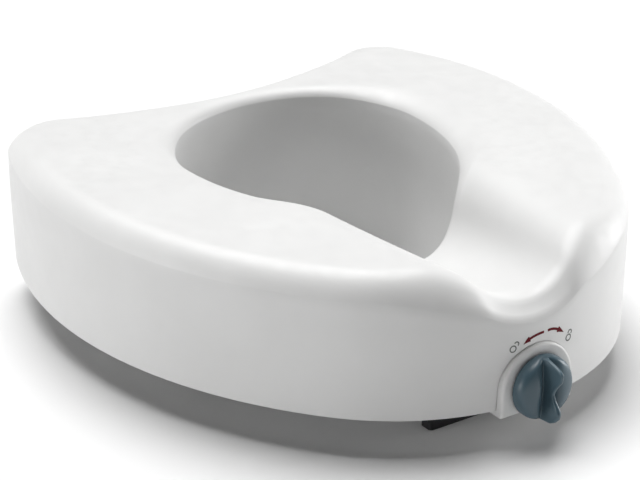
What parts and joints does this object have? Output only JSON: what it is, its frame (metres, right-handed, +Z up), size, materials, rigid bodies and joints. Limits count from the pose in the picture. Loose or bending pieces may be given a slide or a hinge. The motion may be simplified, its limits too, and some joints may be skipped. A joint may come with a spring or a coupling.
{
  "type": "raised toilet seat",
  "caption": "White moulded raised toilet seat with an egg-shaped opening, a front dip, a wing-knob screw clamp under it and rear hooks.",
  "frame": {"origin": "in the plane of the seat's underside, on the plane of symmetry, at the middle of the opening's length", "axes": "+Z up, -Y to the front where the knob is, +X to the seat's right-hand side as seen from the front"},
  "size_m": [0.4204, 0.4551, 0.1335],
  "materials": {
    "white_moulding": "satin white moulded polyethylene",
    "knob_plastic": "satin slate blue moulded nylon",
    "black_plastic": "matt black glass-filled nylon",
    "rubber": "matt soft rubber",
    "nylon": "natural nylon",
    "steel": "bright zinc-plated steel",
    "brass": "machined brass",
    "red_print": "pad-printed red ink",
    "grey_print": "pad-printed grey ink"
  },
  "bodies": {
    "seat": {"seat_shell": "white_moulding", "base_pan": "white_moulding", "clamp_housing": "white_moulding", "screw_bush": "nylon", "screw_end_bush": "nylon", "housing_screws": "steel", "pan_screws": "steel", "rear_hook_left": "black_plastic", "rear_hook_right": "black_plastic", "hook_pad_left": "rubber", "hook_pad_right": "rubber", "hook_screws": "steel", "hook_nuts": "steel", "bowl_pad_front_left": "rubber", "bowl_pad_front_right": "rubber", "bowl_pad_rear_left": "rubber", "bowl_pad_rear_right": "rubber"},
    "knob_and_screw": {"knob": "knob_plastic", "lead_screw": "steel", "knob_pin": "steel", "front_thrust_washer": "nylon", "rear_thrust_washer": "nylon", "screw_clip": "steel"},
    "jaw": {"clamp_jaw": "black_plastic", "jaw_carriage": "nylon", "clamp_nut": "brass", "jaw_pad": "rubber", "jaw_screws": "steel"}
  },
  "joints": [
    {"name": "knob_turn", "type": "hinge", "parent": "seat", "child": "knob_and_screw", "pos_m": [0, -0.2542, 0.014], "axis": [0, 1, 0], "range_deg": [-3240, 2160]},
    {"name": "jaw_slide", "type": "slide", "parent": "seat", "child": "jaw", "axis": [0, -1, 0], "range_m": [-0.0271, 0.0181]}
  ],
  "couplings": [
    {"joint": "jaw_slide", "follows": "knob_turn", "m_per_rad": 0.00047746}
  ]
}
